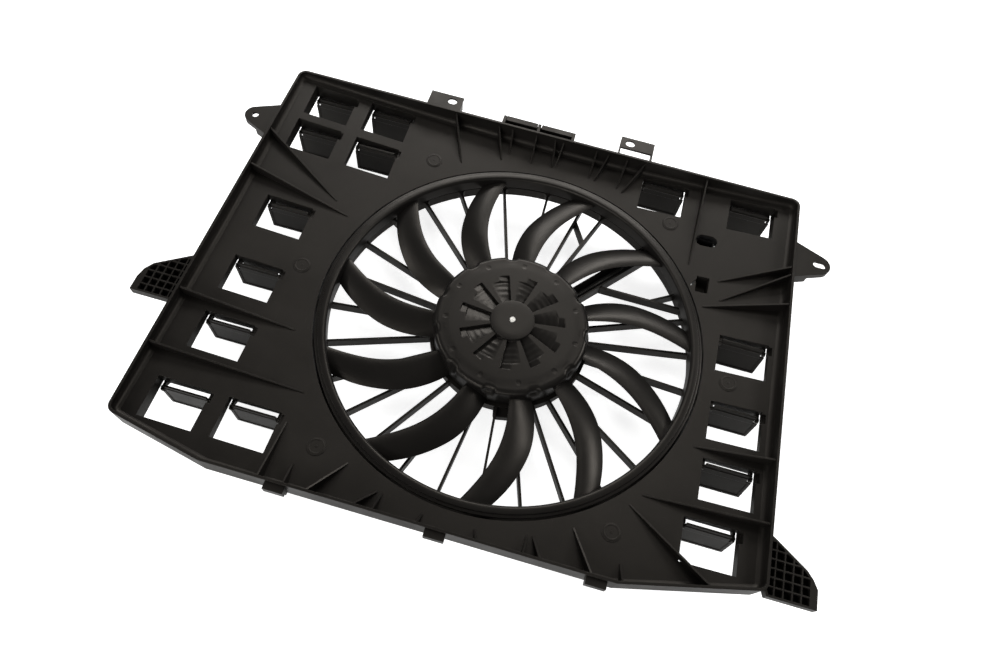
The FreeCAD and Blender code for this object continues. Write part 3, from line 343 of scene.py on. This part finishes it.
# The sleeve: a ribbed tube along the lead's route of two straight runs with a tangent arc between them.
# Its radius falls into a narrow groove once in each pitch, and waves a little along the way.
def addLead(look):
    start, turn, end = (np.array(look[key]) for key in ("start", "turn", "end"))
    back, last = unitOf(start - turn), unitOf(end - turn)
    firstLength, lastLength = np.linalg.norm(start - turn), np.linalg.norm(end - turn)
    reach = look["share"] * min(firstLength, lastLength)
    run, finish = firstLength - reach, lastLength - reach
    bend = math.pi - math.acos(back @ last)
    radius = reach / math.tan(bend / 2)
    centre = turn + unitOf(back + last) * math.hypot(reach, radius)
    ways = np.arange(0, run + radius * bend + finish, look["step"])
    swing = np.clip((ways - run) / radius, 0, bend)[:, None]
    away = (turn + back * reach - centre) / radius
    direction = -back * np.cos(swing) - away * np.sin(swing)
    straight = np.minimum(ways - run, 0) + np.maximum(ways - run - radius * bend, 0)
    spine = centre + radius * (away * np.cos(swing) - back * np.sin(swing)) + direction * straight[:, None]
    up = np.array((0.0, 0.0, 1.0))
    across = np.cross(direction, up)
    around = np.linspace(0, 2 * math.pi, look["around"], endpoint=False)[None, :, None]
    ridge = look["ridgeGain"] * np.sin(ways / look["pitch"] * 2 * math.pi) + look["ridgeLift"]
    size = look["radius"] - look["groove"] * (0.5 - 0.5 * np.clip(ridge, -1, 1))
    size = size - look["waver"] * (1 + np.sin(ways * look["waverRate"]))
    ring = across[:, None, :] * np.cos(around) + up * np.sin(around)
    points = spine[:, None, :] + ring * size[:, None, None]
    piece = gridPiece("leadSleeve", points[:, ::-1], "shroud", "cable_jacket", False)
    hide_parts("motor_cable")


addLead(leadLook)
print("sleeve made")

hubLook = {
    "rows": 880, "bore": 4.0, "boss": 12.0, "bossDrop": 1.0, "under": 64.0, "underChamfer": 4.0,
    "discFlat": 15.0, "discRadius": 27.0, "discTop": 78.0,
    "discEdge": ((0.8, 0.0), (0.2, 0.15), (0.0, 0.5)),  # in from the disc's edge, and down from its top
    "rimHeight": 73.0, "rise": 2.5, "radius": 95.6, "wall": 3.0, "foot": 44.5,
    "wallSteps": 8, "wallLead": 2.0, "shoulder": 6.5, "shoulderSteps": 10,
    "levelBefore": 4.0, "levelOver": 18.0,  # how the face gets level round the shoulder's start
    "faceStart": 27.7, "pocketZone": 69.0, "pocketColumns": 54, "plainZone": 70.5, "plainColumns": 16,
    "count": 11, "start": 9.5, "span": 24.0, "shortSpan": 12.5, "depth": 4.4, "shortDepth": 3.6,
    "bow": 1.25, "split": 55.8, "splitEdge": 2.0, "outer": 65.0, "outerEdge": 0.9,
    "ridges": (38.5, 46.5, 54.0), "ridgeHeight": 0.4, "ridgeWidth": 2.8, "ridgeFade": 2.5,
    "dimpleRadius": 81.0, "dimpleAngle": 28.0, "dimpleSize": 3.2, "dimpleEdge": 0.8, "dimpleDepth": 0.3,
    "scallopStart": 6.0, "scallopHalf": 5.6, "scallopDepth": 3.2,
    "scallopFoot": 61.0, "scallopRise": 2.0, "scallopReach": 8.0}


def smoothStep(values):  # from 0 to 1 along a cubic curve that is level at both ends
    values = np.clip(values, 0, 1)
    return values * values * (3 - 2 * values)


def ringOf(radius, height, angle):  # points from radius and height at each angle about the fan's axis
    return np.stack([radius * np.cos(angle), radius * np.sin(angle), height], axis=-1)


# The hub's profile, from the bore over the disc, face, shoulder and wall to the underside and the bore.
def hubProfile(look):
    shoulderStart = look["radius"] - look["shoulder"]
    face = np.concatenate((np.linspace(look["faceStart"], look["pocketZone"], look["pocketColumns"]),
                           np.linspace(look["plainZone"], shoulderStart, look["plainColumns"])))
    inset, drop = np.array(look["discEdge"]).T
    bends = np.radians(np.linspace(0, 90, look["shoulderSteps"] + 1)[1:])
    inner = look["radius"] - look["wall"]
    radii = np.concatenate((
        [look["bore"], look["discFlat"]], look["discRadius"] - inset, [look["discRadius"]], face,
        shoulderStart + look["shoulder"] * np.sin(bends), np.full(look["wallSteps"], look["radius"]),
        [inner, inner, inner - look["underChamfer"], look["boss"], look["boss"], look["bore"]]))
    top, under = look["rimHeight"], look["under"]
    cone = top + look["rise"] * (look["radius"] - face) / (look["radius"] - look["discRadius"])
    level = smoothStep((shoulderStart + look["levelBefore"] - face) / look["levelOver"])
    cone = np.minimum(cone, top + level * (cone - top))
    wallTop = top - look["shoulder"] - look["wallLead"]
    heights = np.concatenate((
        [look["discTop"]] * 2, look["discTop"] - drop, [cone[0]], cone,
        top - look["shoulder"] * (1 - np.cos(bends)), np.linspace(wallTop, look["foot"], look["wallSteps"]),
        [look["foot"], under - look["underChamfer"], under, under], [under - look["bossDrop"]] * 2))
    faceFrom = len(inset) + 3
    return radii, heights, face, slice(faceFrom, faceFrom + len(face))


# The hub: the profile turned about the axis, with its height and radius changed by the angle. In each
# pocket the face sinks by a power of the angle left to the pocket's end, deepest at its steep wall, with
# rounded ridges across it, and past the split radius the pocket is shorter. Scallops press the shoulder
# inwards by a smooth step of the squared angle, and dimples sink the face.
def addHub(look):
    radii, heights, face, facePoints = hubProfile(look)
    pitch = 360.0 / look["count"]
    degrees = (np.arange(look["rows"]) * 360.0 / look["rows"])[:, None]
    radius = np.repeat(radii[None, :], look["rows"], axis=0)
    height = np.repeat(heights[None, :], look["rows"], axis=0)
    inPocket = (degrees - look["start"]) % pitch
    share = np.clip(1 - inPocket / look["span"], 0, 1)
    shortShare = np.clip(1 - inPocket / look["shortSpan"], 0, 1)
    outside = smoothStep((face - look["split"]) / look["splitEdge"])
    edge = smoothStep((look["outer"] - face) / look["outerEdge"])
    longPocket = look["depth"] * share ** look["bow"] * (1 - outside)
    depth = (longPocket + look["shortDepth"] * shortShare ** look["bow"] * outside) * edge
    for middle in look["ridges"]:
        ridge = np.exp(-((face - middle) / look["ridgeWidth"]) ** 2) * smoothStep(share * look["ridgeFade"])
        depth = depth - np.minimum(look["ridgeHeight"] * ridge, depth)
    off = (degrees - look["dimpleAngle"] + pitch / 2) % pitch - pitch / 2
    away = np.hypot(face - look["dimpleRadius"], np.radians(off) * look["dimpleRadius"])
    dimple = look["dimpleDepth"] * smoothStep((look["dimpleSize"] - away) / look["dimpleEdge"])
    height[:, facePoints] -= depth + dimple
    near = (degrees - look["scallopStart"] + pitch / 2) % pitch - pitch / 2
    press = look["scallopDepth"] * smoothStep(1 - (near / look["scallopHalf"]) ** 2)
    reach = look["radius"] - look["shoulder"] - look["scallopReach"]
    press = press * smoothStep((height - look["scallopFoot"]) / look["scallopRise"])
    radius = radius - press * smoothStep((radius - reach) / look["scallopReach"])
    points = ringOf(radius, height, np.radians(degrees))
    piece = gridPiece("hubShell", points, "fan_rotor", "fan_plastic", True)
    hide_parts("fan_hub")


addHub(hubLook)
print("hub made")

ringLook = {
    "rows": 720, "inner": 222.5, "outer": 236.0, "bottom": 52.0, "top": 69.5, "wall": 2.0,
    "roll": 4.0, "rollSteps": 10, "flat": 4.9, "step": 1.7, "stepOut": 1.0, "flange": 2.0, "lip": 3.4,
    "crownEdge": ((0.0, 0.0), (0.6, 0.2), (0.9, 0.7)),  # out from the crown, and down from its top
    "flangeEdge": ((0.9, 0.0), (0.25, 0.25), (0.0, 0.9)),  # in from the outer edge, and down
    "lipWall": 1.8, "web": (1.0, 0.6), "throat": 2.0}


# The blade ring: one profile turned about the axis. Its inner edge rolls through a quarter circle to a flat
# crown, steps down to the outer flange and ends in a short lip over the tunnel's edge.
def addRing(look):
    inner, top, outer, roll = look["inner"], look["top"], look["outer"], look["roll"]
    crown, flange = inner + roll + look["flat"], top - look["step"]
    under = flange - look["flange"]
    profile = [(inner, look["bottom"])]
    profile += [(inner + roll * (1 - math.cos(bend)), top - roll * (1 - math.sin(bend)))
                for bend in np.radians(np.linspace(0, 90, look["rollSteps"]))]
    profile += [(crown + out, top - down) for out, down in look["crownEdge"]]
    profile += [(crown + look["stepOut"], flange)]
    profile += [(outer - inwards, flange - down) for inwards, down in look["flangeEdge"]]
    profile += [(outer, flange - look["lip"]), (outer - look["lipWall"], flange - look["lip"]),
                (outer - look["lipWall"], under), (inner + roll + look["web"][0], under + look["web"][1]),
                (inner + look["wall"], top - roll - look["throat"]), (inner + look["wall"], look["bottom"])]
    radii, heights = np.array(profile).T
    angle = np.linspace(0, 2 * math.pi, look["rows"], endpoint=False)[:, None]
    points = ringOf(radii[None, :], np.repeat(heights[None, :], look["rows"], axis=0), angle)
    piece = gridPiece("bladeRing", points, "fan_rotor", "fan_plastic", True)
    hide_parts("fan_ring")


addRing(ringLook)
print("blade ring made")

padLook = {
    "angles": (0, 52, 128, 180, 232, 308), "circle": 270.0, "height": 68.80, "rows": 48,
    "profile": ((0.0, 1.0), (1.5, 1.0), (1.7, 0.8), (1.8, -0.4), (7.0, -0.4), (7.1, 0.75), (7.5, 1.0),
                (9.0, 1.0), (9.4, 0.75), (9.5, -0.9), (0.0, -0.9))}  # radius, and height above the plate


# The pad marks: on each pad a raised ring and a cut-off sprue, turned about the pad's own axis, which leans
# with the plate.
def addPadMarks(look, plate):
    radii, rise = np.array(look["profile"]).T
    around = np.linspace(0, 2 * math.pi, look["rows"], endpoint=False)[:, None]
    tilt = math.atan(plate["slope"])
    out, side = radii * np.cos(around), radii * np.sin(around)
    reach = look["circle"] + out * math.cos(tilt) - rise * math.sin(tilt)
    height = look["height"] + out * math.sin(tilt) + rise * math.cos(tilt)
    turn = np.radians(look["angles"])[:, None, None]
    points = np.stack([reach * np.cos(turn) - side * np.sin(turn),
                       reach * np.sin(turn) + side * np.cos(turn),
                       np.repeat(height[None], len(turn), axis=0)], axis=-1)
    gridPiece("padMarks", points, "shroud", "shroud_plastic", True)


addPadMarks(padLook, plateLook)
print("pad marks made")

flareLook = {
    "angles": (78, 91, 106.5, 122, 135, 148, 161, 174, 186.5, 200, 212.5, 225, 237.5, 250, 263, 275.5, 288,
               301, 313, 326, 343, 357, 10, 22.5, 70),  # where the struts reach the ring
    "ring": 229.0, "radius": 5.5, "half": 1.5, "low": 33.0, "high": 41.9, "bury": 0.8, "steps": 7}


# The strut flares: where a strut meets the ring, a hollow quarter circle on each side widens it into
# the ring.
def addFlares(look):
    bends = np.radians(np.linspace(0, 90, look["steps"]))
    along = np.append(look["ring"] - look["radius"] * (1 - np.sin(bends)), look["ring"] + look["bury"])
    wide = np.append(look["half"] + look["radius"] * (1 - np.cos(bends)), look["half"] + look["radius"])
    along, wide = np.concatenate((along, along[::-1])), np.concatenate((-wide, wide[::-1]))
    angle = np.radians(look["angles"])[:, None]
    flat = np.stack([along * np.cos(angle) - wide * np.sin(angle),
                     along * np.sin(angle) + wide * np.cos(angle)], axis=-1)
    levels = [np.concatenate((flat, np.full(flat.shape[:2] + (1,), height)), axis=-1)
              for height in (look["low"], look["high"])]
    gridPiece("strutFlares", np.stack(levels, axis=1), "shroud", "shroud_plastic", False)


addFlares(flareLook)
print("strut flares made")

pocketLook = {"centre": (221.4, 130.0), "half": (8.0, 11.5), "wall": 1.8, "top": 65.2, "floor": 52.6}


# The clip pocket: a closed box behind the square hole. Its outline runs up outside, over the top and down
# inside to the floor.
def addClipPocket(look):
    wall, top, floor = look["wall"], look["top"], look["floor"]
    grown = np.array(look["half"]) + np.array((wall, wall, 0.0, 0.0))[:, None]
    corners = np.array(((1, -1), (1, 1), (-1, 1), (-1, -1)))
    flat = np.array(look["centre"]) + grown[:, None, :] * corners
    heights = np.repeat(np.array((floor - wall, top, top, floor))[:, None, None], len(corners), axis=1)
    points = np.concatenate((flat, heights), axis=2)
    gridPiece("clipPocket", points, "shroud", "shroud_plastic", False)


addClipPocket(pocketLook)
print("clip pocket made")

cameraView = {"place": (0.0314, -0.4102, 0.8219), "aim": (-0.0141, 0.0185, 0.0), "roll": 10.2,
              "lens": 25.3, "sensor": 36.0, "near": 0.01, "far": 50.0}


def placeCamera(view):
    data = bpy.data.cameras.new("camera")
    camera = addObject("camera", data)
    place = Vector(view["place"])
    track = (Vector(view["aim"]) - place).to_track_quat("-Z", "Y")
    camera.location = place
    camera.rotation_mode = "QUATERNION"
    camera.rotation_quaternion = track @ Quaternion((0, 0, 1), math.radians(view["roll"]))
    data.lens, data.sensor_width = view["lens"], view["sensor"]
    data.clip_start, data.clip_end = view["near"], view["far"]
    bpy.context.scene.camera = camera


placeCamera(cameraView)
print("camera placed")

# Lamps: azimuth from +X towards +Y and elevation in degrees, width and height in metres, power in watts.
studio = {
    "floorHalf": 4.0, "floorDepth": 0.0003, "floorColour": (0.86, 0.86, 0.85), "floorGlow": 0.80,
    "mirrorGlow": 0.32, "world": 0.14, "lampDistance": 2.2,
    "lamps": {
        "backSoft": {"azimuth": 97, "elevation": 36, "size": (1.9, 0.62), "power": 35},
        "highSoft": {"azimuth": 88, "elevation": 63, "size": (0.9, 0.5), "power": 5},
        "rightSoft": {"azimuth": 28, "elevation": 36, "size": (0.7, 0.5), "power": 15.5},
        "frontHigh": {"azimuth": -118, "elevation": 36, "size": (1.5, 0.4), "power": 14},
        "frontSoft": {"azimuth": -95, "elevation": 14, "size": (2.4, 0.5), "power": 17},
        "leftSoft": {"azimuth": 185, "elevation": 34, "size": (0.8, 0.5), "power": 8}}}


def whiteOnSight(name, look):  # matt floor that glows for camera rays and, less, for mirror and glass rays
    material, tree, shader = newMaterial(name)
    link = tree.links.new
    tree.nodes.remove(shader)
    rays = addNode(tree, "LightPath").outputs
    mirrored = blendValue(tree, "MAXIMUM", rays["Is Glossy Ray"], rays["Is Transmission Ray"])
    mirrored = blendValue(tree, "MULTIPLY", mirrored, look["mirrorGlow"])
    direct = blendValue(tree, "MULTIPLY", rays["Is Camera Ray"], look["floorGlow"])
    strength = blendValue(tree, "MAXIMUM", direct, mirrored)
    matt = addNode(tree, "BsdfDiffuse", {"Color": (*look["floorColour"], 1.0)})
    light = addNode(tree, "Emission", {"Color": (1, 1, 1, 1)})
    both = addNode(tree, "AddShader")
    link(strength, light.inputs["Strength"])
    link(matt.outputs[0], both.inputs[0])
    link(light.outputs[0], both.inputs[1])
    link(both.outputs[0], tree.nodes["Material Output"].inputs["Surface"])
    return material


def placeFloor(look):
    half, low = look["floorHalf"], -look["floorDepth"]
    mesh = bpy.data.meshes.new("floor")
    mesh.from_pydata([(-half, -half, low), (half, -half, low), (half, half, low), (-half, half, low)],
                     [], [(0, 1, 2, 3)])
    floor = addObject("floor", mesh)
    mesh.materials.append(whiteOnSight("paleFloor", look))


def placeLamp(name, lamp, distance):  # a soft box that faces the fan's centre
    data = bpy.data.lights.new(name, "AREA")
    data.shape = "RECTANGLE"
    data.size, data.size_y = lamp["size"]
    data.energy = lamp["power"]
    light = addObject(name, data)
    turn, rise = math.radians(lamp["azimuth"]), math.radians(lamp["elevation"])
    away = Vector((math.cos(turn) * math.cos(rise), math.sin(turn) * math.cos(rise), math.sin(rise)))
    light.location = away * distance
    light.rotation_mode = "QUATERNION"
    light.rotation_quaternion = (-away).to_track_quat("-Z", "Y")


def placeWorld(look):  # white where the camera sees it, and a weak even light elsewhere
    world = bpy.data.worlds.new("studio")
    bpy.context.scene.world = world
    world.use_nodes = True
    tree = world.node_tree
    path = addNode(tree, "LightPath")
    strength = blendValue(tree, "MAXIMUM", path.outputs["Is Camera Ray"], look["world"])
    tree.links.new(strength, tree.nodes["Background"].inputs["Strength"])
    tree.nodes["Background"].inputs["Color"].default_value = (1, 1, 1, 1)


placeFloor(studio)
for lampName, lamp in studio["lamps"].items():
    placeLamp(lampName, lamp, studio["lampDistance"])
placeWorld(studio)
bpy.context.scene.view_settings.view_transform = "Standard"
print("scene made")
